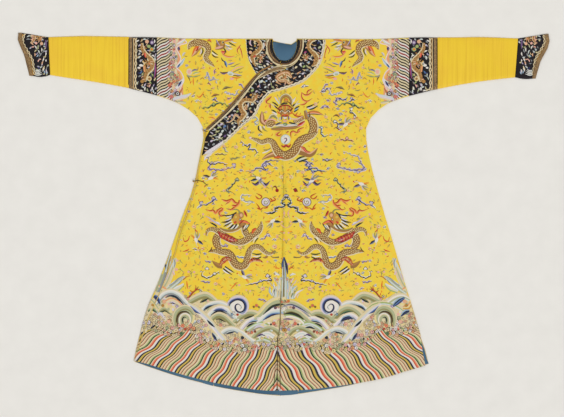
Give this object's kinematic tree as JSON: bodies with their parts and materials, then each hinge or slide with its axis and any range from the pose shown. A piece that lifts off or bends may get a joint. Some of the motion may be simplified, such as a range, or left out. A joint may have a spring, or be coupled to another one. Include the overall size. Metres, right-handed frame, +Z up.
{
  "type": "chinese dragon robe laid flat",
  "caption": "Long-sleeved yellow silk court robe, embroidered with dragons, laid flat on its back with the side-closing front up.",
  "frame": {"origin": "centre of the laid robe's bounding box, on the surface that it lies on", "axes": "+X to the wearer's left along the sleeves, +Y from the hem to the shoulders, +Z up from the surface"},
  "size_m": [2.1265, 1.452, 0.0155],
  "materials": {
    "yellow_satin": "golden yellow silk satin with embroidery",
    "yellow_plain": "plain golden yellow silk, finely pleated",
    "blue_lining": "soft steel-blue silk",
    "dark_satin": "near-black silk satin with embroidery",
    "brocade": "brown and gold woven brocade ribbon",
    "cream_piping": "cream silk cord",
    "yellow_piping": "pale yellow-green silk cord",
    "gilt_ball": "gilt, polished",
    "dark_cord": "dark brown silk cord"
  },
  "bodies": {
    "root": {"body_left": "yellow_satin", "body_right": "yellow_satin", "front_overlap": "yellow_satin", "lining_neck": "blue_lining", "lining_hem": "blue_lining", "neck_band_right": "dark_satin", "neck_band_left": "dark_satin", "neck_binding_right": "dark_satin", "neck_binding_left": "dark_satin", "neck_trim_right": "brocade", "neck_trim_left": "brocade", "neck_piping_right": "cream_piping", "neck_piping_left": "cream_piping", "closing_trim": "brocade", "closing_piping": "cream_piping", "side_piping": "yellow_piping", "neck_button": "gilt_ball", "arm_button": "gilt_ball", "waist_button": "gilt_ball", "arm_loop": "dark_cord", "waist_loop": "dark_cord", "sleeve_band_right": "dark_satin", "sleeve_trim_right": "brocade", "sleeve_extension_right": "yellow_plain", "cuff_right": "dark_satin", "cuff_trim_right": "brocade", "sleeve_band_left": "dark_satin", "sleeve_trim_left": "brocade", "sleeve_extension_left": "yellow_plain", "cuff_left": "dark_satin", "cuff_trim_left": "brocade"}
  },
  "joints": []
}
